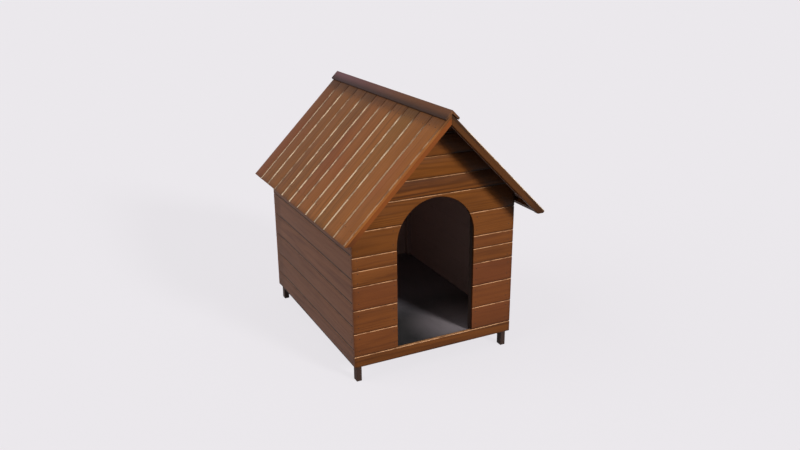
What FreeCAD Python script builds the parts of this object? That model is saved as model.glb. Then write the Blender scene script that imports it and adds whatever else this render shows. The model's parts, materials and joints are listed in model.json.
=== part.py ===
import FreeCAD, Part
import Sketcher
import os
import re

# Timber dog house with a gable roof. Lengths in millimetres, +Z up.
# The origin is on the ground under the middle of the roof. The doorway faces -Y and the
# ridge runs along Y.

# Driving dimensions. A board's cover is its height or width without the tongue.
sizes = {
    # cabin
    "cabin_width": 730,  # over the side walls
    "cabin_depth": 956,  # over the front and back walls
    "ground_clearance": 68,  # underside of the walls above the ground
    "wall_height": 629,  # side wall, up to its outer top edge
    "board_thickness": 12,
    # lowest and top board of a side wall; those between share the rest
    "side_base_board": 74,
    "side_top_board": 55,
    # boards of the gable walls, from the ground up
    "sill_height": 48,
    "door_board_1": 100,
    "door_board_2": 100,
    "door_board_3": 100,
    "door_board_4": 65,
    "door_board_5": 56,
    "arch_board": 100,  # door_board_6 fills up to it
    "arch_bridge": 9,  # wood of the arch board over the arch
    "low_gable_board": 72,  # the boards over it share the rest of the gable
    # tongue, groove and V-joint
    "tongue_length": 6,
    "tongue_thickness": 4,
    "groove_play": 0.3,
    "joint_chamfer": 3,
    # doorway
    "door_width": 348,
    "door_side_height": 441,  # from the sill to the spring of the arch
    # roof
    "roof_pitch": 45,
    "front_overhang": 109,
    "back_overhang": 35,
    "eave_overhang": 75,
    "roof_board_thickness": 12,
    "rafter_depth": 18,
    "rafter_thickness": 22,
    "ridge_beam_width": 22,
    "ridge_beam_height": 44,
    "beam_play": 0.5,
    "eave_lath_width": 30,
    "eave_lath_thickness": 18,
    "eave_lath_inset": 24,  # from the board ends
    "cap_width": 45,
    "cap_thickness": 9,
    "cap_overhang": 6,
    # inner frame
    "post_width": 22,
    "post_depth": 30,
    "stud_width": 30,
    "stud_depth": 22,
    "rail_width": 22,
    "rail_height": 30,
    # floor
    "floor_drop": 6,  # below the top of the sill
    "floor_thickness": 12,
    "floor_play": 1,
}

LEFT = -1
RIGHT = 1
SIDE_BOARDS = 7
DOOR_BOARDS = 6  # on each side of the doorway
HIGH_GABLE_BOARDS = 3
ROOF_BOARDS = 11  # on each slope

# Places worked out from the driving dimensions, as expressions on their names.
half_width = "(cabin_width / 2)"
roof_length = "(cabin_depth + front_overhang + back_overhang)"
front_face = f"(front_overhang - {roof_length} / 2)"
back_face = f"({roof_length} / 2 - back_overhang)"
cabin_middle = f"(({front_face} + {back_face}) / 2)"
front_inner = f"({front_face} + board_thickness)"
back_inner = f"({back_face} - board_thickness)"
side_inner = f"({half_width} - board_thickness)"
post_inner = f"({side_inner} - post_width)"
wall_top = "(ground_clearance + wall_height)"
apex = f"({wall_top} + {half_width} * tan(roof_pitch))"  # the roof boards' undersides meet here
roof_top = f"({apex} + roof_board_thickness / cos(roof_pitch))"
sill_top = "(ground_clearance + sill_height)"
arch_spring = f"({sill_top} + door_side_height)"
arch_top = f"({arch_spring} + door_width / 2)"
floor_top = f"({sill_top} - floor_drop)"
floor_under = f"({floor_top} - floor_thickness)"
inner_roof_length = f"({roof_length} - 2 * rafter_thickness)"  # between the rafter pairs
slope_length = f"(({half_width} + eave_overhang) / cos(roof_pitch))"  # on the boards' top
eave_run = f"({half_width} + eave_overhang - roof_board_thickness * sin(roof_pitch))"
eave_fall = f"({eave_run} * tan(roof_pitch))"  # from the apex to the corner under a board's end

doc = FreeCAD.newDocument("DogHouse")
sheet = doc.addObject("Spreadsheet::Sheet", "Sizes")
for row, (alias, size) in enumerate(sizes.items(), start=1):
    sheet.set(f"A{row}", str(size))
    sheet.setAlias(f"A{row}", alias)
doc.recompute()

nodes = []  # one file each
cuts = []  # features before and after each cut


def bound(text):
    """The expression with its driving dimensions read from the sheet."""
    return re.sub(r"[a-z]\w*", lambda word: "Sizes." + word[0] if word[0] in sizes else word[0], text)


def number(text):
    return float(sheet.evalExpression(bound(text)))


def keep(piece):
    nodes.append(piece)
    return piece


def group(label, pieces):
    """Separate pieces of one kind that share a node."""
    compound = doc.addObject("Part::Compound", label)
    compound.Label = label
    compound.Links = pieces
    return keep(compound)


def set_place(piece, place):
    for axis, distance in zip("xyz", place):
        piece.setExpression(f"Placement.Base.{axis}", bound(distance))


def new_box(label, place, lengths):
    box = doc.addObject("Part::Box", label)
    box.Label = label
    for side, length in zip(("Length", "Width", "Height"), lengths):
        box.setExpression(side, bound(length))
    set_place(box, place)
    return box


def new_body(label, place, slope=0):
    """A body at a place. With slope RIGHT its X runs down the right slope, with LEFT up the left."""
    body = doc.addObject("PartDesign::Body", label)
    body.Label = label
    if slope:
        axis = FreeCAD.Vector(0, slope, 0)
        rotation = FreeCAD.Rotation(axis, sizes["roof_pitch"])
        body.Placement = FreeCAD.Placement(FreeCAD.Vector(), rotation)
        body.setExpression("Placement.Rotation.Angle", bound("roof_pitch"))
    set_place(body, place)
    return body


def new_sketch(body, plane):
    sketch = body.newObject("Sketcher::SketchObject", body.Name + "_sketch")
    origin_plane = [item for item in body.Origin.OriginFeatures if item.Role == plane][0]
    sketch.AttachmentSupport = [(origin_plane, "")]
    sketch.MapMode = "FlatFace"
    return sketch


def pin_point(sketch, edge, point, distances):
    """Holds one point of an edge at a pair of expressions."""
    for kind, distance in zip(("DistanceX", "DistanceY"), distances):
        index = sketch.addConstraint(Sketcher.Constraint(kind, -1, 1, edge, point, number(distance)))
        sketch.setExpression(f"Constraints[{index}]", bound(distance))


def add_outline(sketch, corners):
    """A closed outline of straight edges through corners given as expressions."""
    points = [FreeCAD.Vector(number(across), number(up), 0) for across, up in corners]
    ends = points[1:] + points[:1]
    sketch.addGeometry([Part.LineSegment(start, end) for start, end in zip(points, ends)])
    for index, corner in enumerate(corners):
        following = (index + 1) % len(corners)
        sketch.addConstraint(Sketcher.Constraint("Coincident", index, 2, following, 1))
        pin_point(sketch, index, 1, corner)


def pad(body, plane, corners, length, side="One side", backwards=False):
    sketch = new_sketch(body, plane)
    add_outline(sketch, corners)
    feature = body.newObject("PartDesign::Pad", body.Name + "_pad")
    feature.Profile = sketch
    feature.SideType = side
    feature.Reversed = backwards
    feature.setExpression("Length", bound(length))
    return feature


def cut_through(body, sketch):
    """Cuts a sketch out of the whole body, both ways from its plane."""
    before = body.Tip
    feature = body.newObject("PartDesign::Pocket", body.Name + "_cut")
    feature.Profile = sketch
    feature.SideType = "Symmetric"
    feature.Type = "ThroughAll"
    cuts.append((before, feature))


# Tongue-and-groove boards


def board_section(cover, thickness, foot, head):
    """Corners of a board's section, as (depth behind the outer face, distance from the foot).

    The foot is plain or groove. The head is plain, tongue, peak (square) or bevel (to the roof).
    """
    middle = f"((joint_chamfer + {thickness}) / 2)"  # of the tongue and the groove
    tongue_near = f"({middle} - tongue_thickness / 2)"
    tongue_far = f"({middle} + tongue_thickness / 2)"
    groove_near = f"({tongue_near} - groove_play)"
    groove_far = f"({tongue_far} + groove_play)"
    groove_depth = "(tongue_length + groove_play)"
    feet = {
        "plain": [],
        "groove": [
            (groove_far, "0"),
            (groove_far, groove_depth),
            (groove_near, groove_depth),
            (groove_near, "0"),
        ],
    }
    chamfer = [("0", f"{cover} - joint_chamfer"), ("joint_chamfer", cover)]
    tongue = [
        (tongue_near, cover),
        (tongue_near, f"{cover} + tongue_length"),
        (tongue_far, f"{cover} + tongue_length"),
        (tongue_far, cover),
    ]
    heads = {
        "plain": chamfer + [(thickness, cover)],
        "tongue": chamfer + tongue + [(thickness, cover)],
        "peak": [("0", cover), (thickness, cover)],
        "bevel": [("0", cover), (thickness, f"{cover} + {thickness} * tan(roof_pitch)")],
    }
    start = [(thickness, "0")]
    near_edge = [("joint_chamfer", "0"), ("0", "joint_chamfer")]
    return start + feet[foot] + near_edge + heads[head]


def stack_boards(bottom, covers):
    """Level and cover of each board, from the bottom up."""
    boards = []
    for cover in covers:
        boards.append((bottom, cover))
        bottom = f"({bottom} + {cover})"
    return boards


def cut_to_roof(body, level):
    """Trims a gable board to the roof boards and notches it round the ridge beam."""
    peak = f"({apex} - {level})"
    half_notch = "(ridge_beam_width / 2 + beam_play)"
    notch_bottom = f"({peak} - ridge_beam_height)"
    corners = []
    for side in (LEFT, RIGHT):
        slope = [
            (f"{side} * cabin_width", f"{peak} + tongue_length"),
            (f"{side} * cabin_width", f"{peak} - cabin_width * tan(roof_pitch)"),
            (f"{side} * {half_notch}", f"{peak} - {half_notch} * tan(roof_pitch)"),
            (f"{side} * {half_notch}", notch_bottom),
        ]
        corners += slope[::-side]
    sketch = new_sketch(body, "XZ_Plane")
    add_outline(sketch, corners)
    cut_through(body, sketch)


def cut_doorway(body, level):
    """Cuts a gable board to the doorway: two straight sides under a half-round arch."""
    sketch = new_sketch(body, "XZ_Plane")
    left = "(0 - door_width / 2)"
    right = "(door_width / 2)"
    bottom = f"({sill_top} - {level})"
    spring = f"({arch_spring} - {level})"
    start = FreeCAD.Vector(number(left), number(spring), 0)
    foot_left = FreeCAD.Vector(number(left), number(bottom), 0)
    foot_right = FreeCAD.Vector(number(right), number(bottom), 0)
    end = FreeCAD.Vector(number(right), number(spring), 0)
    top = FreeCAD.Vector(0, number(f"{arch_top} - {level}"), 0)
    sketch.addGeometry(
        [
            Part.LineSegment(start, foot_left),
            Part.LineSegment(foot_left, foot_right),
            Part.LineSegment(foot_right, end),
            Part.Arc(end, top, start),
        ]
    )
    for edge in (0, 1, 2):
        sketch.addConstraint(Sketcher.Constraint("Coincident", edge, 2, edge + 1, 1))
    sketch.addConstraint(Sketcher.Constraint("Coincident", 3, 2, 0, 1))
    pin_point(sketch, 0, 1, (left, spring))
    pin_point(sketch, 1, 1, (left, bottom))
    pin_point(sketch, 2, 1, (right, bottom))
    pin_point(sketch, 2, 2, (right, spring))
    arch_centre = Sketcher.Constraint("DistanceY", -1, 1, 3, 3, number(spring))
    sketch.setExpression(f"Constraints[{sketch.addConstraint(arch_centre)}]", bound(spring))
    cut_through(body, sketch)


def gable_board(label, level, cover, foot, head, is_front, half=None):
    """A board across the front or back wall, or from its left or right end to the middle."""
    body = new_body(label, ("0", front_face if is_front else back_face, level))
    inward = 1 if is_front else -1
    section = board_section(cover, "board_thickness", foot, head)
    corners = [(f"{inward} * {depth}", height) for depth, height in section]
    if half:
        pad(body, "YZ_Plane", corners, half_width, backwards=half == LEFT)
    else:
        pad(body, "YZ_Plane", corners, "cabin_width", side="Symmetric")
    if number(f"{level} + {cover} + tongue_length - {wall_top}") > 0:
        cut_to_roof(body, level)
    return body


def gable_courses():
    """Label, level and cover of each course of a gable wall, the same at the front and the back."""
    door_covers = [f"door_board_{course}" for course in range(1, DOOR_BOARDS)]
    arch_bottom = f"({arch_top} + arch_bridge - arch_board)"
    door_covers.append(f"({arch_bottom} - {sill_top} - {' - '.join(door_covers)})")
    high_cover = f"(({apex} - {arch_top} - arch_bridge - low_gable_board) / {HIGH_GABLE_BOARDS})"
    gable_covers = ["low_gable_board"] + [high_cover] * HIGH_GABLE_BOARDS
    covers = ["sill_height"] + door_covers + ["arch_board"] + gable_covers
    labels = ["sill"] + [f"door_board_{course}" for course in range(1, DOOR_BOARDS + 1)]
    labels += ["arch_board"] + [f"gable_board_{course + 1}" for course in range(len(gable_covers))]
    return [(label, *course) for label, course in zip(labels, stack_boards("ground_clearance", covers))]


def build_gable_walls():
    courses = gable_courses()
    back_boards = []
    for label, level, cover in courses:
        foot = "plain" if label in ("sill", "door_board_1") else "groove"
        head = {"sill": "plain", courses[-1][0]: "peak"}.get(label, "tongue")
        if label.startswith("door"):
            for name, half in (("left", LEFT), ("right", RIGHT)):
                board = gable_board(f"front_{name}_{label}", level, cover, foot, head, True, half)
                cut_doorway(keep(board), level)
        else:
            board = keep(gable_board(f"front_{label}", level, cover, foot, head, True))
            if label.startswith("arch"):
                cut_doorway(board, level)
        back_boards.append(gable_board(f"back_{label}", level, cover, foot, head, False))
    group("back_wall_boards", back_boards)


def side_board(label, side, level, cover, foot, head):
    body = new_body(label, (f"{side} * {half_width}", cabin_middle, level))
    section = board_section(cover, "board_thickness", foot, head)
    corners = [(f"{-side} * {depth}", height) for depth, height in section]
    pad(body, "XZ_Plane", corners, "cabin_depth - 2 * board_thickness", side="Symmetric")
    return body


def build_side_walls():
    between = SIDE_BOARDS - 2
    middle_cover = f"((wall_height - side_base_board - side_top_board) / {between})"
    covers = ["side_base_board"] + [middle_cover] * between + ["side_top_board"]
    courses = stack_boards("ground_clearance", covers)
    right_boards = []
    for course, (level, cover) in enumerate(courses, start=1):
        foot = "plain" if course == 1 else "groove"
        head = "bevel" if course == len(courses) else "tongue"
        keep(side_board(f"left_wall_board_{course}", LEFT, level, cover, foot, head))
        right_boards.append(side_board(f"right_wall_board_{course}", RIGHT, level, cover, foot, head))
    group("right_wall_boards", right_boards)


def roof_board(label, side, start, cover, foot, head):
    """A board from the ridge to the eave, its upper end cut plumb against its opposite."""
    body = new_body(label, ("0", start, roof_top), slope=side)
    section = board_section(cover, "roof_board_thickness", foot, head)
    corners = [(along, f"-1 * {depth}") for depth, along in section]
    pad(body, "YZ_Plane", corners, slope_length, backwards=side == LEFT)
    plumb_cut = [
        ("0", "0"),
        (f"{side} * roof_board_thickness * tan(roof_pitch)", "-1 * roof_board_thickness"),
        (f"{-side} * roof_board_thickness", "-1 * roof_board_thickness"),
        (f"{-side} * roof_board_thickness", "0"),
    ]
    sketch = new_sketch(body, "XZ_Plane")
    add_outline(sketch, plumb_cut)
    cut_through(body, sketch)
    return body


def build_roof_boards():
    cover = f"({roof_length} / {ROOF_BOARDS})"
    right_boards = []
    for index in range(ROOF_BOARDS):
        start = f"({index} * {cover} - {roof_length} / 2)"
        foot = "plain" if index == 0 else "groove"
        head = "plain" if index == ROOF_BOARDS - 1 else "tongue"
        suffix = f"roof_board_{index + 1:02d}"
        keep(roof_board("left_" + suffix, LEFT, start, cover, foot, head))
        right_boards.append(roof_board("right_" + suffix, RIGHT, start, cover, foot, head))
    group("right_roof_boards", right_boards)


# Roof frame


def build_ridge_beam():
    half = "(ridge_beam_width / 2)"
    shoulder = f"(0 - {half} * tan(roof_pitch))"
    foot = "(0 - ridge_beam_height)"
    corners = [
        ("0", "0"),
        (half, shoulder),
        (half, foot),
        (f"-1 * {half}", foot),
        (f"-1 * {half}", shoulder),
    ]
    body = keep(new_body("ridge_beam", ("0", "0", apex)))
    pad(body, "XZ_Plane", corners, inner_roof_length, side="Symmetric")


def build_rafters():
    """Rafter pairs under the end boards, plumb at the ridge and cut level at the eave."""
    level_cut = "rafter_depth / sin(roof_pitch)"
    starts = {"front": f"(0 - {roof_length} / 2)", "back": f"({roof_length} / 2 - rafter_thickness)"}
    for end, start in starts.items():
        for name, side in (("left", LEFT), ("right", RIGHT)):
            corners = [
                ("0", "0"),
                (f"{side} * {eave_run}", f"-1 * {eave_fall}"),
                (f"{side} * ({eave_run} - {level_cut})", f"-1 * {eave_fall}"),
                ("0", "-1 * rafter_depth / cos(roof_pitch)"),
            ]
            body = keep(new_body(f"{end}_rafter_{name}", ("0", start, apex)))
            pad(body, "XZ_Plane", corners, "rafter_thickness", backwards=True)


def build_eave_laths():
    """Laths under the boards' lower ends, laid flat on the slope between the rafters."""
    lower = f"({eave_run} / cos(roof_pitch) - eave_lath_inset)"
    upper = f"({lower} - eave_lath_width)"
    for name, side in (("left", LEFT), ("right", RIGHT)):
        corners = [
            (f"{side} * {upper}", "0"),
            (f"{side} * {lower}", "0"),
            (f"{side} * {lower}", "-1 * eave_lath_thickness"),
            (f"{side} * {upper}", "-1 * eave_lath_thickness"),
        ]
        body = keep(new_body(f"eave_lath_{name}", ("0", "0", apex), slope=side))
        pad(body, "XZ_Plane", corners, inner_roof_length, side="Symmetric")


def build_ridge_cap():
    """Two strips over the ridge: the left one laps over the right one's upper edge."""
    crest = ("0", "cap_thickness / cos(roof_pitch)")
    lap = ("cap_thickness / (2 * sin(roof_pitch))", "cap_thickness / (2 * cos(roof_pitch))")
    edge_fall = "(cap_thickness / cos(roof_pitch) - cap_width * sin(roof_pitch))"
    outer_run = "(cap_width * cos(roof_pitch))"
    inner_run = f"({outer_run} - cap_thickness * sin(roof_pitch))"
    inner_fall = f"({edge_fall} - cap_thickness * cos(roof_pitch))"
    strips = {
        "left": [crest, (f"-1 * {outer_run}", edge_fall), (f"-1 * {inner_run}", inner_fall), lap],
        "right": [("0", "0"), lap, (outer_run, edge_fall), (inner_run, inner_fall)],
    }
    for name, corners in strips.items():
        body = keep(new_body(f"ridge_cap_{name}", ("0", "0", roof_top)))
        pad(body, "XZ_Plane", corners, f"{roof_length} + 2 * cap_overhang", side="Symmetric")


# Inner frame and floor


def build_corner_posts():
    """Posts inside the four corners. Their lower ends are the feet."""
    top = f"({apex} - {side_inner} * tan(roof_pitch))"
    starts = {"front": front_inner, "back": f"({back_inner} - post_depth)"}
    for end, start in starts.items():
        for name, side in (("left", LEFT), ("right", RIGHT)):
            corners = [
                ("0", "0"),
                (f"{-side} * post_width", "0"),
                (f"{-side} * post_width", f"{top} + post_width * tan(roof_pitch)"),
                ("0", top),
            ]
            body = keep(new_body(f"corner_post_{end}_{name}", (f"{side} * {side_inner}", start, "0")))
            pad(body, "XZ_Plane", corners, "post_depth", backwards=True)


def build_door_posts():
    """Studs behind the edges of the doorway, from the floor to the roof boards."""
    top = f"({apex} - door_width / 2 * tan(roof_pitch) - {floor_top})"
    for name, side in (("left", LEFT), ("right", RIGHT)):
        corners = [
            ("0", "0"),
            (f"{side} * stud_width", "0"),
            (f"{side} * stud_width", f"{top} - stud_width * tan(roof_pitch)"),
            ("0", top),
        ]
        place = (f"{side} * door_width / 2", front_inner, floor_top)
        pad(keep(new_body(f"door_post_{name}", place)), "XZ_Plane", corners, "stud_depth", backwards=True)


def build_back_post():
    """The stud behind the back gable, from the floor to the ridge beam."""
    place = ("0 - stud_width / 2", f"{back_inner} - stud_depth", floor_top)
    height = f"{apex} - ridge_beam_height - {floor_top}"
    keep(new_box("back_post", place, ("stud_width", "stud_depth", height)))


def build_floor_frame():
    """Rails along the side walls between the posts, and bearers across under the floor."""
    rail_bottom = f"{floor_under} - rail_height"
    rail_start = f"{front_inner} + post_depth"
    rail_length = "cabin_depth - 2 * board_thickness - 2 * post_depth"
    rails = []
    for name, start in (("left", f"-1 * {side_inner}"), ("right", f"{side_inner} - rail_width")):
        lengths = ("rail_width", rail_length, "rail_height")
        rails.append(new_box(f"base_rail_{name}", (start, rail_start, rail_bottom), lengths))
    group("base_rails", rails)

    between_rails = f"({side_inner} - rail_width)"
    bearers = {
        "front": (post_inner, front_inner),
        "middle": (between_rails, f"{cabin_middle} - rail_width / 2"),
        "back": (post_inner, f"{back_inner} - rail_width"),
    }
    pieces = []
    for name, (half_length, start) in bearers.items():
        lengths = (f"2 * {half_length}", "rail_width", "rail_height")
        pieces.append(new_box(f"floor_bearer_{name}", (f"-1 * {half_length}", start, rail_bottom), lengths))
    group("floor_bearers", pieces)


def build_floor():
    """The floor panel, with its corners cut out round the posts."""
    edge = f"({side_inner} - floor_play)"
    notch_edge = f"({post_inner} - floor_play)"
    end = "(cabin_depth / 2 - board_thickness - floor_play)"
    notch_end = f"({end} - post_depth)"
    quarter = [(notch_edge, end), (notch_edge, notch_end), (edge, notch_end)]
    corners = []
    for across, along in ((1, 1), (1, -1), (-1, -1), (-1, 1)):
        turned = [(f"{across} * {x}", f"{along} * {y}") for x, y in quarter]
        corners += turned if across == along else turned[::-1]
    body = keep(new_body("floor_panel", ("0", cabin_middle, floor_under)))
    pad(body, "XY_Plane", corners, "floor_thickness")


build_gable_walls()
build_side_walls()
build_roof_boards()
build_ridge_beam()
build_rafters()
build_eave_laths()
build_ridge_cap()
build_corner_posts()
build_door_posts()
build_back_post()
build_floor_frame()
build_floor()
doc.recompute()

for item in doc.Objects:
    if "Invalid" in item.State or "Error" in item.State:
        raise RuntimeError(f"{item.Label} failed: {item.State}")
for before, after in cuts:
    if after.Shape.Volume >= before.Shape.Volume:
        raise RuntimeError(f"{after.Label} removes nothing")
for node in nodes:
    if node.Shape.isNull() or not node.Shape.isValid():
        raise RuntimeError(f"{node.Label} has no valid shape")

os.makedirs("parts", exist_ok=True)
for node in nodes:
    node.Shape.exportStep(f"parts/{node.Label}.step")
print(f"{len(nodes)} nodes, {sum(len(node.Shape.Solids) for node in nodes)} solids")
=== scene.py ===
import json
import math
import random

import bmesh
import bpy
from mathutils import Matrix, Vector


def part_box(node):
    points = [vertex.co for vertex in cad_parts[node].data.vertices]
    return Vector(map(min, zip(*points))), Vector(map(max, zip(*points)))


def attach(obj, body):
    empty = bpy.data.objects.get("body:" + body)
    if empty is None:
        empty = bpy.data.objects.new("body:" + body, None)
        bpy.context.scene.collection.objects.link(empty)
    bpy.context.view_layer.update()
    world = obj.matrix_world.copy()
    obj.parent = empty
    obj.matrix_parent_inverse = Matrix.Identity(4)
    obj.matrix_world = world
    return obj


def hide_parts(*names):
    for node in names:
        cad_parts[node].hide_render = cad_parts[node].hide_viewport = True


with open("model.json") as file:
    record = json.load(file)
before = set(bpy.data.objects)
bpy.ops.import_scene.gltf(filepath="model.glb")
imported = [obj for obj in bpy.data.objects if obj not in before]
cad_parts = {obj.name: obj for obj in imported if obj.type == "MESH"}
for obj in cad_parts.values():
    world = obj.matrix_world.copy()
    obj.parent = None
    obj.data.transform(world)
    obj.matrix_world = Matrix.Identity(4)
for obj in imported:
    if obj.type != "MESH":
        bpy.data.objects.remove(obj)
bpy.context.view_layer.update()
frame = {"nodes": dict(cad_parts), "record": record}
nodeSlots = {part["node"]: part["material_slot"] for part in frame["record"]["subparts"]}
print("frame loaded,", len(frame["nodes"]), "nodes")


class Wire:
    # a socket of one material; + - * / and ** on it add Math nodes

    def __init__(self, tree, socket=None):
        self.tree = tree
        self.socket = socket

    def node(self, kind, settings=None, inputs=None, output=0):
        new = self.tree.nodes.new("ShaderNode" + kind)
        for name, value in (settings or {}).items():
            setattr(new, name, value)
        for key, value in (inputs or {}).items():
            if isinstance(value, Wire):
                self.tree.links.new(value.socket, new.inputs[key])
            else:
                new.inputs[key].default_value = value
        return Wire(self.tree, new.outputs[output] if new.outputs else None)

    def maths(self, operation, first, second=0.0):
        return self.node("Math", {"operation": operation}, {0: first, 1: second})

    def __add__(self, other):
        return self.maths("ADD", self, other)

    def __radd__(self, other):
        return self.maths("ADD", other, self)

    def __sub__(self, other):
        return self.maths("SUBTRACT", self, other)

    def __rsub__(self, other):
        return self.maths("SUBTRACT", other, self)

    def __mul__(self, other):
        return self.maths("MULTIPLY", self, other)

    def __rmul__(self, other):
        return self.maths("MULTIPLY", other, self)

    def __pow__(self, other):
        return self.maths("POWER", self, other)

    def sine(self):
        return self.maths("SINE", self)

    def size(self):
        return self.maths("ABSOLUTE", self)

    def step(self, low, high, start=0.0, end=1.0):
        # a soft step from start to end as this value goes from low to high
        settings = {"interpolation_type": "SMOOTHSTEP"}
        return self.node("MapRange", settings, {0: self, 1: low, 2: high, 3: start, 4: end})

    def mix(self, first, second, kind="MIX"):
        # this value is the share of the second colour
        settings = {"data_type": "RGBA", "blend_type": kind}
        return self.node("Mix", settings, {0: self, 6: first, 7: second}, 2)

    def split(self):
        parted = self.node("SeparateXYZ", None, {0: self})
        return [Wire(self.tree, socket) for socket in parted.socket.node.outputs]

    def plus(self, vector):
        return self.node("VectorMath", {"operation": "ADD"}, {0: self, 1: vector})

    def stretched(self, factors):
        return self.node("VectorMath", {"operation": "MULTIPLY"}, {0: self, 1: factors})

    def length(self):
        return self.node("VectorMath", {"operation": "LENGTH"}, {0: self}, 1)

    def noise(self, scale, detail=2.0, roughness=0.5):
        inputs = {"Vector": self, "Scale": scale, "Detail": detail, "Roughness": roughness}
        return self.node("TexNoise", {"noise_dimensions": "3D"}, inputs)


def newMaterial(name):
    material = bpy.data.materials.new(name)
    material.use_nodes = True
    material.node_tree.nodes.clear()
    return material, Wire(material.node_tree)


def finishMaterial(start, colour, roughness, bump=None, bumpDepth=0.0, gloss=0.3):
    inputs = {"Base Color": colour, "Roughness": roughness, "Specular IOR Level": gloss}
    if bump is not None:
        inputs["Normal"] = start.node("Bump", None, {"Height": bump, "Distance": bumpDepth, "Strength": 1.0})
    surface = start.node("BsdfPrincipled", None, inputs)
    start.node("OutputMaterial", None, {"Surface": surface})


def screen(red, green, blue):
    # a colour as read from a screen, 0 to 255, as the shader wants it
    channels = []
    for value in (red, green, blue):
        share = value / 255
        channels.append(share / 12.92 if share <= 0.04045 else ((share + 0.055) / 1.055) ** 2.4)
    return (*channels, 1.0)


def addPiece(name, mesh, material):
    piece = bpy.data.objects.new(name, mesh)
    bpy.context.scene.collection.objects.link(piece)
    mesh.materials.append(material)
    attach(piece, "root")
    return piece


# stained softwood: light and dark are the two tones of the grain, warm and dull the boards'
# own casts, bare the unstained wood that shows in the V-joints, end the sawn ends,
# ringGap the growth rings; every shade, real stain or painted shade, darkens towards the colour of thick stain
woodFinish = {
    "roof_boards": {
        "light": screen(150, 92, 42), "dark": screen(104, 60, 24), "warm": screen(146, 70, 38),
        "dull": screen(112, 80, 34), "bare": screen(255, 228, 192), "end": screen(96, 52, 24),
        "bareShare": 1.0, "endShare": 0.5, "wornShare": 0.3, "figure": 0.4, "ringGap": 0.011,
        "roughness": 0.5, "castSpread": 1.5, "jointShade": 0.2, "jointLine": 0.35, "lineReach": (0.0075, 0.012),
        "knotShare": 0.0,
        "capShadowAndBackDark": 0.5, "eaveShade": 0.35, "eaveReach": 0.03, "footShade": 0.0, "capRimPaintedShade": 0.0, "backDull": 0.0,
    },
    "gable_boards": {
        "light": screen(136, 78, 32), "dark": screen(72, 35, 11), "warm": screen(114, 60, 32),
        "dull": screen(124, 70, 16), "bare": screen(228, 172, 124), "end": screen(88, 44, 18),
        "bareShare": 0.9, "endShare": 0.5, "wornShare": 0.2, "figure": 0.9, "ringGap": 0.0066,
        "roughness": 0.48, "castSpread": 0.8, "jointShade": 0.2, "jointLine": 0.3, "lineReach": (0.003, 0.008),
        "knotShare": 0.0,
        "capShadowAndBackDark": 0.0, "eaveShade": 0.0, "eaveReach": 0.03, "footShade": 0.15, "capRimPaintedShade": 0.0, "backDull": 0.0,
        "gablePaintedShadow": 0.8,
    },
    # the side boards' colours are the front's stain painted darker and greyer: partly their own stain, partly
    # painted shade
    "side_boards": {
        "light": screen(112, 74, 53), "dark": screen(80, 50, 36), "warm": screen(104, 64, 46),
        "dull": screen(92, 66, 56), "bare": screen(148, 110, 84), "end": screen(92, 50, 24),
        "bareShare": 0.45, "endShare": 0.9, "wornShare": 0.1, "figure": 0.5, "ringGap": 0.010,
        "roughness": 0.55, "castSpread": 0.5, "jointShade": 0.25, "jointLine": 0.85, "lineReach": (0.004, 0.011),
        "knotShare": 0.7,
        "capShadowAndBackDark": 0.2, "eaveShade": 0.0, "eaveReach": 0.03, "footShade": 0.15, "capRimPaintedShade": 0.0, "backDull": 0.0,
    },
    "ridge_cap": {
        "light": screen(110, 68, 39), "dark": screen(82, 48, 28), "warm": screen(104, 60, 34),
        "dull": screen(112, 76, 84), "bare": screen(190, 150, 116), "end": screen(150, 106, 70),
        "bareShare": 0.6, "endShare": 0.4, "wornShare": 0.1, "figure": 0.4, "ringGap": 0.009,
        "roughness": 0.5, "castSpread": 0.3, "jointShade": 0.0, "jointLine": 0.0, "lineReach": (0.003, 0.007),
        "knotShare": 0.5,
        "capShadowAndBackDark": 0.0, "eaveShade": 0.0, "eaveReach": 0.03, "footShade": 0.0, "capRimPaintedShade": 0.85, "backDull": 0.85,
    },
    "rafter": {
        "light": screen(120, 69, 25), "dark": screen(88, 46, 14), "warm": screen(118, 60, 22),
        "dull": screen(98, 60, 24), "bare": screen(160, 108, 60), "end": screen(70, 40, 20),
        "bareShare": 0.5, "endShare": 0.6, "wornShare": 0.1, "figure": 0.5, "ringGap": 0.009,
        "roughness": 0.55, "castSpread": 0.5, "jointShade": 0.0, "jointLine": 0.0, "lineReach": (0.003, 0.007),
        "knotShare": 0.5,
        "capShadowAndBackDark": 0.0, "eaveShade": 0.6, "eaveReach": 0.13, "footShade": 0.0, "capRimPaintedShade": 0.0, "backDull": 0.0,
    },
    "frame_timber": {
        "light": screen(70, 53, 46), "dark": screen(44, 32, 28), "warm": screen(60, 42, 34),
        "dull": screen(56, 45, 40), "bare": screen(88, 66, 52), "end": screen(80, 60, 48),
        "bareShare": 0.4, "endShare": 0.3, "wornShare": 0.1, "figure": 0.4, "ringGap": 0.007,
        "roughness": 0.65, "castSpread": 0.3, "jointShade": 0.0, "jointLine": 0.0, "lineReach": (0.003, 0.007),
        "knotShare": 0.5,
        "capShadowAndBackDark": 0.0, "eaveShade": 0.0, "eaveReach": 0.03, "footShade": 0.2, "capRimPaintedShade": 0.0, "backDull": 0.0,
        "indoors": 0.85,
    },
}
darkStainAndShade = screen(34, 18, 8)
insideColour = screen(186, 158, 150)


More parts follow.
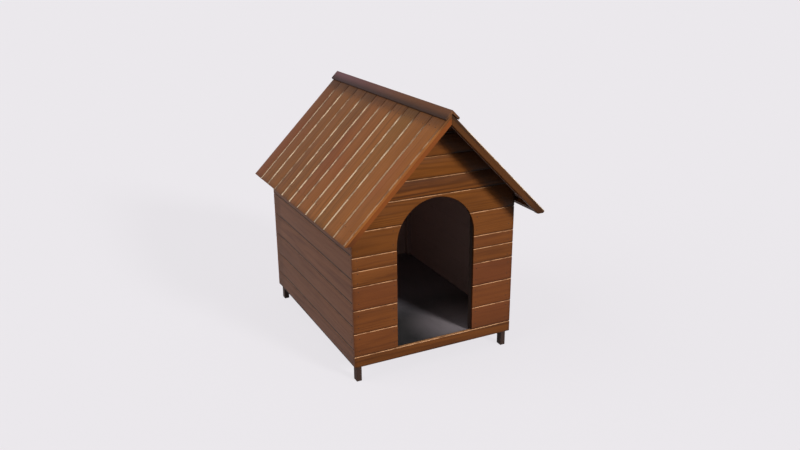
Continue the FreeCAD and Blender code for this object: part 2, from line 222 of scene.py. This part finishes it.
def woodMaterial(name, finish):
    material, start = newMaterial(name)

    def carried(attribute):
        return start.node("Attribute", {"attribute_name": attribute}, None, 1)

    spot = carried("boardSpot")  # along, across and through the board, from its middle
    heart = carried("boardHeart")  # the way from there to the heart of its tree
    tone, figure, lightness = carried("boardStain").split()
    bareMask, endMask, wornMask = carried("boardFace").split()
    halfLength, halfWidth, inside = carried("boardSize").split()
    place = spot.plus(heart)
    alongSpot, acrossSpot = spot.split()[:2]
    whole = start.node("TexCoord", None, None, 3)
    wholeX, depth, height = whole.split()
    tone = tone + (whole.noise(2.6, 2.0) - 0.5) * finish["castSpread"]

    # knots: a few dark spots that the rings bend round
    knotPlane = place.stretched((5.5, 5.5, 0.0))
    knotCells = knotPlane.node("TexVoronoi", {"voronoi_dimensions": "2D"}, {"Vector": knotPlane, "Scale": 1.0})
    knotChoice = Wire(start.tree, knotCells.socket.node.outputs[1]).split()[0].step(0.8, 0.82) * finish["knotShare"]
    knotReach = knotCells.step(0.02, 0.16, 1.0, 0.0) * knotChoice
    knotHeart = knotCells.step(0.022, 0.034, 1.0, 0.0) * knotChoice

    drift = place.stretched((0.9, 5.0, 5.0)).noise(1.0, 1.0)
    ripple = place.stretched((5.0, 24.0, 24.0)).noise(1.0, 2.0)
    radius = place.stretched((0.012, 1.0, 1.0)).length() + drift * 0.022 + ripple * 0.004 + knotReach * 0.01
    rings = (radius * (2 * math.pi / finish["ringGap"])).sine() * 0.5 + 0.5
    lateWood = rings ** 2.5
    fibres = place.stretched((14.0, 420.0, 420.0)).noise(1.0, 3.0, 0.6)
    streaks = place.stretched((3.0, 70.0, 70.0)).noise(1.0, 3.0, 0.6)
    blotches = place.stretched((3.5, 9.0, 9.0)).noise(1.0, 2.0)

    grain = lateWood * figure * finish["figure"] + streaks.step(0.32, 0.68) * (figure * 0.3 + 0.16) + fibres.step(0.3, 0.7) * 0.18
    colour = grain.step(0.0, 1.05).mix(finish["light"], finish["dark"])
    colour = (tone.step(0.0, 1.0) * 0.8).mix(colour, finish["warm"])
    colour = (tone.step(-1.0, 0.0, 1.0, 0.0) * 0.8).mix(colour, finish["dull"])
    if finish["backDull"]:
        colour = alongSpot.step(-0.3, 0.5, 0.0, finish["backDull"]).mix(colour, finish["dull"])
    colour = (blotches.step(0.46, 0.72) * 0.3).mix(colour, finish["dark"])
    colour = knotReach.step(0.3, 1.0, 0.0, 0.35).mix(colour, finish["dark"])
    colour = (knotHeart * 0.75).mix(colour, screen(56, 32, 20))

    # darker in the joints; painted shadow of the ridge cap on the roof; darker towards the eave ends, the bottom and
    # the side boards' back ends
    edgeGap = halfWidth - acrossSpot.size()
    ridgeGap = halfLength - alongSpot
    shade = edgeGap.step(0.002, 0.014, finish["jointShade"], 0.0)
    frontGap = acrossSpot + halfWidth
    lineShade = frontGap.step(*finish["lineReach"], finish["jointLine"], 0.0)
    if finish["capShadowAndBackDark"]:
        lineShade = lineShade * ridgeGap.step(0.06, 0.095)
    shade = shade + lineShade + ridgeGap.step(0.05, 0.1, finish["capShadowAndBackDark"], 0.0)
    shade = shade + (halfLength + alongSpot).step(0.0, finish["eaveReach"], finish["eaveShade"], 0.0)
    shade = shade + height.step(0.06, 0.22, finish["footShade"], 0.0)
    if finish.get("gablePaintedShadow"):
        # painted shadow of the roof's overhang on the boards beneath it, most on the right; and darker along the
        # wall's outer corners
        underRoof = (1.062 - height - wholeX.size()) * 0.7071
        overhangShadow = underRoof.step(0.045, 0.085, finish["gablePaintedShadow"], 0.0) * wholeX.step(-0.04, 0.02, 0.2, 1.0)
        shade = shade + overhangShadow + (0.365 - wholeX.size()).step(0.0, 0.016, 0.22, 0.0)
    # painted shade on the ridge cap's strips, darker towards their lower edge
    shade = shade + acrossSpot.step(-0.022, 0.014, finish["capRimPaintedShade"], 0.0)
    colour = shade.mix(colour, darkStainAndShade)
    colour = lightness.node("VectorMath", {"operation": "SCALE"}, {0: colour, 3: lightness})

    # bare wood in the V-joints, rubbed arrises and end grain
    chalk = place.stretched((26.0, 90.0, 90.0)).noise(1.0, 2.0)
    stripMask = start.maths("MAXIMUM", bareMask * -1.0, 0.0) * frontGap.step(0.006, 0.008, 1.0, 0.0)
    bareMask = start.maths("MAXIMUM", bareMask, stripMask)
    bareShare = bareMask * chalk.step(0.35, 0.55, finish["bareShare"] * 0.35, finish["bareShare"])
    # the pale joints fade in the painted shadow under the ridge cap
    if finish["capShadowAndBackDark"]:
        bareShare = bareShare * ridgeGap.step(0.065, 0.12)
    # the pale joints fade in the painted shadow of the overhang
    if finish.get("gablePaintedShadow"):
        bareShare = bareShare * (1.0 - overhangShadow)
    bareColour = bareMask.step(0.2, 0.75).mix(screen(226, 160, 100), finish["bare"])
    colour = bareShare.mix(colour, bareColour)
    colour = (wornMask * chalk.step(0.35, 0.65) * finish["wornShare"]).mix(colour, finish["bare"])
    colour = (endMask * streaks.step(0.2, 0.8) * finish["endShare"]).mix(colour, finish["end"])
    # painted shade inside the house, darker towards the bottom
    insidePaintedShade = height.step(0.1, 0.6, 0.2, 0.0).mix(insideColour, darkStainAndShade)
    if finish.get("indoors"):
        # the frame's timbers have the plain finish above the floor, but dark beside the doorway
        inside = height.step(0.1, 0.125, 0.0, finish["indoors"]) * depth.step(-0.35, -0.3)
    colour = inside.mix(colour, insidePaintedShade)

    roughness = fibres * 0.18 + (finish["roughness"] - 0.05)
    relief = lateWood * 0.5 + fibres * 0.3 + streaks * 0.2
    finishMaterial(start, colour, roughness, relief, 0.0005, 0.14)
    return material


woodMaterials = {name: woodMaterial("stained_" + name, finish) for name, finish in woodFinish.items()}


def panelMaterial():
    material, start = newMaterial("floor_film")
    place = start.node("TexCoord", None, None, 3)
    cloud = place.noise(7.0, 3.0)
    rubbed = place.stretched((6.0, 1.5, 1.0)).noise(3.0, 3.0, 0.6)
    grit = place.noise(380.0, 2.0)
    # worn pale where a dog steps over the sill
    # a painted pool of light inside the doorway, palest near its right side
    worn = place.plus((-0.18, 0.33, 0.0)).stretched((4.2, 4.2, 0.0)).length().step(0.2, 1.15, 0.95, 0.0)
    colour = cloud.step(0.35, 0.7).mix(screen(66, 65, 65), screen(50, 50, 51))
    # painted light: the floor is painted paler towards the back, where the house shades it
    colour = place.split()[1].step(-0.24, 0.06, 0.0, 0.8).mix(colour, screen(134, 128, 134))
    colour = worn.mix(colour, screen(162, 152, 156))
    colour = (rubbed.step(0.5, 0.75) * 0.3).mix(colour, screen(104, 100, 102))
    colour = (grit.step(0.52, 0.72) * 0.2).mix(colour, screen(70, 70, 78))
    finishMaterial(start, colour, grit * 0.12 + 0.42, grit, 0.0003)
    return material


def nailMaterial():
    material, start = newMaterial("nail_head")
    place = start.node("TexCoord", None, None, 3)
    rust = place.noise(240.0, 3.0)
    patch = place.noise(9.0, 1.0)
    colour = rust.step(0.4, 0.65).mix(screen(92, 60, 38), screen(58, 34, 22))
    colour = (patch.step(0.4, 0.6) * 0.6).mix(colour, screen(50, 30, 20))
    finishMaterial(start, colour, rust * 0.3 + 0.45, rust, 0.0001, 0.2)
    return material


print("materials made")

slopeLeft = Vector((1, 0, 1)).normalized()
slopeRight = Vector((-1, 0, 1)).normalized()
alongX = Vector((1, 0, 0))
alongY = Vector((0, 1, 0))
alongZ = Vector((0, 0, 1))

# easing is the rounding of a sawn edge, proud and slip how far a board may sit out of line
boardCut = {
    "easing": 0.0008,
    "capEasing": 0.0042,
    "proud": 0.0003,
    "slip": 0.0007,
    "heartDepth": (0.02, 0.06),
    "heartShift": (-0.045, 0.045),
    "seed": 41,
}

# cast and lightness of the left slope's boards, front to back: casts run from dull -1 to warm 1
roofStain = (
    (0.25, 1.06), (0.0, 1.10), (-0.35, 1.02), (0.05, 1.0), (0.2, 0.92), (0.3, 0.9),
    (-0.1, 0.84), (0.1, 0.81), (-0.15, 0.77), (0.15, 0.73), (0.4, 0.69),
)
# how pale the front edge of each of them is
roofLines = (0.42, 0.55, 0.9, 1.0, 0.8, 0.85, 1.0, 1.0, 0.55, 0.95, 0.7)
# the joints above the gable's boards grow fainter towards the ridge
gableLines = {"front_gable_board_1": 0.8, "front_gable_board_2": 0.5, "front_gable_board_3": 0.3}
# cast, lightness and figure of the boards that the doorway side shows
boardStain = {
    "front_sill": (-0.3, 0.76, 0.4),
    "front_arch_board": (-0.8, 1.0, 1.1),
    "front_gable_board_1": (-0.5, 0.97, 0.9),
    "front_gable_board_2": (-0.8, 1.0, 1.2),
    "front_gable_board_3": (-0.6, 1.05, 1.1),
    "front_gable_board_4": (-0.7, 1.1, 1.1),
    "front_rafter_left": (0.9, 1.4, 0.3),
    "front_rafter_right": (-0.4, 0.64, 0.4),
    "ridge_cap_left": (0.3, 0.97, 0.4),
    "ridge_cap_right": (0.3, 0.9, 0.4),
    "eave_lath_left": (-0.3, 0.7, 0.3),
    "eave_lath_right": (-0.3, 0.55, 0.3),
}
for boardNumber, boardTone in enumerate((0.5, 0.3, 0.6, 0.0, 0.2, -0.5), start=1):
    boardStain[f"front_left_door_board_{boardNumber}"] = (boardTone, 0.84, 0.25)
    boardStain[f"front_right_door_board_{boardNumber}"] = (boardTone + 0.2, 0.87, 0.25)


def boardAxes(name, leftSide):
    # the directions along, across and through a piece of wood; through points out of a roof or wall
    if "roof_board" in name or "rafter" in name:
        return (slopeLeft, alongY, slopeRight) if leftSide else (slopeRight, alongY, slopeLeft)
    if name.startswith("ridge_cap"):
        return (alongY, slopeLeft, slopeRight) if leftSide else (alongY, slopeRight, slopeLeft)
    if "post" in name:
        return alongZ, alongX, alongY
    if name.startswith("left_wall"):
        return alongY, alongZ, -alongX
    if name.startswith("right_wall"):
        return alongY, alongZ, alongX
    if name.startswith(("eave_lath", "ridge_beam", "base_rails")):
        return alongY, alongX, alongZ
    if name == "floor_bearers":
        return alongX, alongY, alongZ
    if name.startswith("back_wall"):
        return alongX, alongZ, alongY
    return alongX, alongZ, -alongY


def closedShells(mesh):
    # a group's boards come one after another, each with its surface closed before the next begins
    shells, shell, unpaired = [], [], set()
    for polygon in mesh.polygons:
        corners = [tuple(round(value, 6) for value in mesh.vertices[index].co) for index in polygon.vertices]
        for first, second in zip(corners, corners[1:] + corners[:1]):
            if (second, first) in unpaired:
                unpaired.discard((second, first))
            else:
                unpaired.add((first, second))
        shell.append(polygon.index)
        if not unpaired:
            shells.append(shell)
            shell = []
    return shells + ([shell] if shell else [])


def looseParts(bm):
    # each board of a group is one island of joined faces
    waiting = set(bm.faces)
    islands = []
    while waiting:
        first = min(waiting, key=lambda face: face.index)
        island = {first}
        rim = [first]
        while rim:
            for side in rim.pop().edges:
                for near in side.link_faces:
                    if near not in island:
                        island.add(near)
                        rim.append(near)
        waiting -= island
        islands.append(sorted(island, key=lambda face: face.index))
    return islands


def faceInside(name, face, through):
    # how far a face has the plain finish of the inside
    slot = nodeSlots[name]
    if slot in ("gable_boards", "side_boards"):
        if face.normal.dot(through) < -0.5:
            return 1.0
        return 0.0
    if slot == "roof_boards" and face.normal.dot(through) < -0.5:
        return 0.7
    return 0.0


def easedBoards(name, chance):
    bm = bmesh.new()
    bm.from_mesh(frame["nodes"][name].data)
    bm.faces.ensure_lookup_table()
    shells = [[bm.faces[index] for index in shell] for shell in closedShells(frame["nodes"][name].data)]
    shellCorners = [{corner for face in shell for corner in face.verts} for shell in shells]
    for corners in shellCorners:
        bmesh.ops.remove_doubles(bm, verts=list(corners), dist=1e-6)
    bmesh.ops.dissolve_limit(bm, angle_limit=math.radians(0.5), verts=bm.verts, edges=bm.edges)
    isCap = name.startswith("ridge_cap")
    if isCap:
        # the strips are rounded over along their lower outer edge
        low = min(corner.co.z for corner in bm.verts) + 0.0085
        outer = [edge for edge in bm.edges
                 if abs((edge.verts[0].co - edge.verts[1].co).normalized().y) > 0.9
                 and max(corner.co.z for corner in edge.verts) < low
                 and max(abs(corner.co.x) for corner in edge.verts) > 0.0315]
        bmesh.ops.bevel(bm, geom=outer, affect="EDGES", offset=boardCut["capEasing"], offset_type="OFFSET",
                        segments=4, profile=0.5, material=-1, clamp_overlap=True)
    sharp = [edge for edge in bm.edges
             if edge.is_manifold and edge.calc_face_angle(0.0) > math.radians(35)]
    bevelled = bmesh.ops.bevel(bm, geom=sharp, affect="EDGES", offset=boardCut["easing"],
                               offset_type="OFFSET", segments=2, profile=0.5, material=-1,
                               clamp_overlap=True)
    worn = set(bevelled["faces"])
    bm.faces.index_update()

    layers = {layer: bm.faces.layers.float_vector.new(layer)
              for layer in ("boardHeart", "boardStain", "boardFace", "boardSize")}
    spotLayer = bm.verts.layers.float_vector.new("boardSpot")
    islands = looseParts(bm)
    if len(islands) != len(shells):
        print(name, "has", len(shells), "shells but", len(islands), "islands")
    for island in islands:
        corners = {corner for face in island for corner in face.verts}
        lowest = Vector([min(corner.co[axis] for corner in corners) for axis in range(3)])
        highest = Vector([max(corner.co[axis] for corner in corners) for axis in range(3)])
        middle = (lowest + highest) / 2
        along, across, through = boardAxes(name, middle.x < 0)
        reach = [max(abs((corner.co - middle).dot(way)) for corner in corners) for way in (along, across)]
        tone, lightness = chance.uniform(-0.8, 0.8), chance.uniform(0.92, 1.08)
        if name.startswith("left_roof_board"):
            tone, lightness = roofStain[int(name[-2:]) - 1]
        if nodeSlots[name] == "side_boards":
            tone *= 0.3
        figure = chance.uniform(0.25, 0.8)
        if name in boardStain:
            tone, lightness, figure = boardStain[name]
        heart = Vector((chance.uniform(0, 9), chance.uniform(*boardCut["heartShift"]),
                        chance.uniform(*boardCut["heartDepth"])))
        out = through * chance.uniform(-1, 1) * boardCut["proud"]
        if "roof_board" in name:
            out += along * chance.uniform(-1, 0.2) * boardCut["slip"]
        if nodeSlots[name] in ("frame_timber", "ridge_cap"):
            out = Vector()
        for corner in corners:
            offset = corner.co - middle
            corner[spotLayer] = Vector((offset.dot(along), offset.dot(across), offset.dot(through)))
            corner.co += out
        for face in island:
            lean = face.normal.dot(across)
            run = abs(face.normal.dot(along))
            inside = faceInside(name, face, through)
            chamfer = 0.6 < abs(lean) < 0.8 and run < 0.2 and face.normal.dot(through) > 0.5
            # on a wall only the chamfer that looks up is pale: bare wood, and a painted highlight where the light
            # falls on it
            bare = 1.0 if chamfer and face not in worn and (across is alongY or lean > 0) else 0.0
            if name.startswith("left_roof_board"):
                bare *= roofLines[int(name[-2:]) - 1] if lean < 0 else 1.0
                if lean > -0.5 and face.normal.dot(through) > 0.8:
                    # below zero: bare only in a strip along the board's front edge
                    bare = -roofLines[int(name[-2:]) - 1]
            bare *= gableLines.get(name, 1.0)
            # the sill's top face is painted pale: a painted highlight
            if name == "front_sill" and face.normal.z > 0.9:
                bare = 0.6
            end = 1.0 if run > 0.85 and not inside else 0.0
            spotMiddle = face.calc_center_median()
            faceLightness = lightness
            if name.startswith("front") and abs(spotMiddle.x) < 0.178 and spotMiddle.z > 0.117:
                if "rafter" not in name and abs(face.normal.y) < 0.5:
                    # the faces cut round the doorway are much darker
                    faceLightness, end = 0.3, 0.0
            if "roof_board" in name and abs(face.normal.y) > 0.9:
                faceLightness *= 0.36 if middle.x > 0 else 1.15
            face[layers["boardHeart"]] = heart
            face[layers["boardStain"]] = Vector((tone, figure, faceLightness))
            rubbed = 1.0 if face in worn and not inside else 0.0
            if name.startswith("front") and abs(spotMiddle.x) < 0.178 and spotMiddle.z > 0.117:
                rubbed *= 2.0
            # the long edges get no joint shade of their own
            halfWidth = reach[1] + (0.05 if abs(lean) > 0.9 else 0.0)
            # and the right slope's front edge is shaded further up from the eave
            halfLength = reach[0] - (0.12 if "roof_board" in name and lean < -0.9 and middle.x > 0 else 0.0)
            face[layers["boardFace"]] = Vector((bare, end, rubbed))
            face[layers["boardSize"]] = Vector((halfLength, halfWidth, inside))

    bmesh.ops.triangulate(bm, faces=[face for face in bm.faces if len(face.verts) > 4])
    mesh = bpy.data.meshes.new(name + "_wood")
    bm.to_mesh(mesh)
    bm.free()
    for polygon in mesh.polygons:
        polygon.use_smooth = True
    mesh.set_sharp_from_angle(angle=math.radians(20))
    finish = "rafter" if "rafter" in name or "eave_lath" in name else nodeSlots[name]
    piece = addPiece(name + "_wood", mesh, woodMaterials[finish])
    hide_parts(name)
    return piece


chance = random.Random(boardCut["seed"])
for nodeName in sorted(frame["nodes"]):
    if nodeName != "floor_panel":
        easedBoards(nodeName, chance)
print("boards eased")

panelFinish = panelMaterial()
for panelSlot in frame["nodes"]["floor_panel"].material_slots:
    panelSlot.material = panelFinish

nailHead = {
    "radius": 0.0024,
    "rise": 0.0006,
    "sides": 8,
    "stray": 0.003,
    "seed": 7,
}


def nailShape():
    # a shallow dome turned from its half outline, with a short shank in the wood
    bm = bmesh.new()
    radius, rise = nailHead["radius"], nailHead["rise"]
    outline = [(0, rise), (radius * 0.6, rise * 0.9), (radius, rise * 0.35), (radius, -rise), (0, -rise)]
    corners = [bm.verts.new((across, 0, up)) for across, up in outline]
    edges = [bm.edges.new(pair) for pair in zip(corners, corners[1:])]
    bmesh.ops.spin(bm, geom=corners + edges, cent=(0, 0, 0), axis=(0, 0, 1), angle=2 * math.pi,
                   steps=nailHead["sides"], use_merge=True)
    bmesh.ops.remove_doubles(bm, verts=bm.verts, dist=1e-6)
    bmesh.ops.recalc_face_normals(bm, faces=bm.faces)
    mesh = bpy.data.meshes.new("nail_shape")
    bm.to_mesh(mesh)
    bm.free()
    return mesh


def addNails(name, spots, out, material, shape, chance):
    bm = bmesh.new()
    turn = out.to_track_quat("Z", "Y").to_matrix().to_4x4()
    sideways = [turn.col[0].to_3d(), turn.col[1].to_3d()]
    for spot in spots:
        before = len(bm.verts)
        bm.from_mesh(shape)
        bm.verts.ensure_lookup_table()
        stray = sum((way * chance.uniform(-1, 1) * nailHead["stray"] for way in sideways), Vector())
        bmesh.ops.transform(bm, matrix=Matrix.Translation(Vector(spot) + stray) @ turn, verts=bm.verts[before:])
    mesh = bpy.data.meshes.new(name)
    bm.to_mesh(mesh)
    bm.free()
    for polygon in mesh.polygons:
        polygon.use_smooth = True
    mesh.set_sharp_from_angle(angle=math.radians(60))
    return addPiece(name, mesh, material)


def nailRows(names, columns, face):
    # two nails in each board, at every column that lies over a post
    spots = []
    for name in names:
        low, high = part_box(name)
        quarter = (high.z - low.z) / 4
        for column in columns:
            for height in (low.z + quarter, high.z - quarter):
                spots.append(face(column, height))
    return spots


nailChance = random.Random(nailHead["seed"])
nailFinish = nailMaterial()
nailMesh = nailShape()
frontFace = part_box("front_sill")[0].y
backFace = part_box("back_wall_boards")[1].y
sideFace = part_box("right_wall_boards")[1].x
postLow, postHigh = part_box("corner_post_front_right")
postX = (postLow.x + postHigh.x) / 2
frontPostY = (postLow.y + postHigh.y) / 2
backPostY = sum(corner.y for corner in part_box("corner_post_back_right")) / 2
doorPostX = sum(corner.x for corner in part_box("door_post_right")) / 2

for sideName, side in (("left", -1), ("right", 1)):
    doorBoards = [f"front_{sideName}_door_board_{number}" for number in range(1, 7)]
    frontSpots = nailRows(doorBoards, (side * postX, side * doorPostX), lambda x, z: (x, frontFace, z))
    addNails(f"front_{sideName}_nails", frontSpots, -alongY, nailFinish, nailMesh, nailChance)
    wallBoards = [f"left_wall_board_{number}" for number in range(1, 8)]
    wallSpots = nailRows(wallBoards, (frontPostY, backPostY), lambda y, z: (side * sideFace, y, z))
    addNails(f"{sideName}_wall_nails", wallSpots, side * alongX, nailFinish, nailMesh, nailChance)
    lathMiddle = sum(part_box(f"eave_lath_{sideName}"), Vector()) / 2
    slopeOut = (side * alongX + alongZ).normalized()
    roofTopLevel = (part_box("left_roof_board_01")[1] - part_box("left_roof_board_01")[0])
    roofSpots = []
    for number in range(1, 12):
        low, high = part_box(f"left_roof_board_{number:02d}")
        for share in (0.25, 0.75):
            y = low.y + (high.y - low.y) * share
            for x in (abs(lathMiddle.x), 0.052):
                roofSpots.append((side * x, y, high.z - x))
    addNails(f"{sideName}_roof_nails", roofSpots, slopeOut, nailFinish, nailMesh, nailChance)

backSpots = nailRows([f"left_wall_board_{number}" for number in range(1, 8)],
                     (-postX, 0.0, postX), lambda x, z: (x, backFace, z))
addNails("back_wall_nails", backSpots, alongY, nailFinish, nailMesh, nailChance)
print("nails driven")

cameraView = {
    "place": Vector((-1.4296, -3.0219, 1.6489)),
    "yaw": 0.457,
    "pitch": 0.337,
    "roll": -0.008,
    "lens": 35.65,
}


def setCamera(view):
    forward = Vector((math.sin(view["yaw"]) * math.cos(view["pitch"]),
                      math.cos(view["yaw"]) * math.cos(view["pitch"]), -math.sin(view["pitch"])))
    right = forward.cross(alongZ).normalized()
    up = right.cross(forward)
    turnedRight = right * math.cos(view["roll"]) + up * math.sin(view["roll"])
    turnedUp = up * math.cos(view["roll"]) - right * math.sin(view["roll"])
    data = bpy.data.cameras.new("photo_view")
    data.lens = view["lens"]
    data.sensor_width = 36
    data.clip_end = 400
    camera = bpy.data.objects.new("photo_view", data)
    bpy.context.scene.collection.objects.link(camera)
    turned = Matrix((turnedRight, turnedUp, -forward)).transposed().to_4x4()
    camera.matrix_world = Matrix.Translation(view["place"]) @ turned
    bpy.context.scene.camera = camera


setCamera(cameraView)

# the key comes from the right front, the fill from the left; angles in degrees
studio = {
    "floor": screen(238, 235, 239),
    "floorBounce": screen(134, 132, 134),
    "floorGlow": 0.85,
    "floorReach": 120,
    "world": 0.27,
    "key": {"from": Vector((0.37, -1.0, 0.47)), "strength": 2.36, "angle": 12},
    "fill": {"from": Vector((-0.85, 0.12, 0.5)), "strength": 1.5, "angle": 60},
}


def seenRays(start):
    # one for what the camera sees, straight, mirrored or through glass
    rays = start.node("LightPath")
    outputs = rays.socket.node.outputs
    for name in ("Is Glossy Ray", "Is Transmission Ray"):
        rays = start.maths("MAXIMUM", rays, Wire(start.tree, outputs[name]))
    return rays


def setFloor(studio):
    bm = bmesh.new()
    bmesh.ops.create_grid(bm, x_segments=1, y_segments=1, size=studio["floorReach"])
    mesh = bpy.data.meshes.new("studio_floor")
    bm.to_mesh(mesh)
    bm.free()
    floor = bpy.data.objects.new("studio_floor", mesh)
    bpy.context.scene.collection.objects.link(floor)
    material, start = newMaterial("studio_floor")
    seen = seenRays(start)
    paper = start.node("BsdfDiffuse", None, {"Color": seen.mix(studio["floorBounce"], studio["floor"])})
    glow = start.node("Emission", None, {"Color": studio["floor"], "Strength": 1.0})
    surface = start.node("MixShader", None, {0: seen * studio["floorGlow"], 1: paper, 2: glow})
    start.node("OutputMaterial", None, {"Surface": surface})
    mesh.materials.append(material)


def addSun(name, lamp):
    data = bpy.data.lights.new(name, "SUN")
    data.energy = lamp["strength"]
    data.angle = math.radians(lamp["angle"])
    sun = bpy.data.objects.new(name, data)
    bpy.context.scene.collection.objects.link(sun)
    sun.rotation_euler = lamp["from"].to_track_quat("Z", "Y").to_euler()


def setLight(studio):
    world = bpy.data.worlds.new("studio")
    bpy.context.scene.world = world
    world.use_nodes = True
    world.node_tree.nodes.clear()
    start = Wire(world.node_tree)
    seen = seenRays(start)
    light = start.node("Background", None, {"Color": (1, 1, 1, 1), "Strength": studio["world"]})
    backdrop = start.node("Background", None, {"Color": studio["floor"], "Strength": 1.0})
    surface = start.node("MixShader", None, {0: seen, 1: light, 2: backdrop})
    start.node("OutputWorld", None, {"Surface": surface})
    addSun("key", studio["key"])
    addSun("fill", studio["fill"])


setFloor(studio)
setLight(studio)
bpy.context.scene.view_settings.view_transform = "Standard"
print("camera, floor and light set")
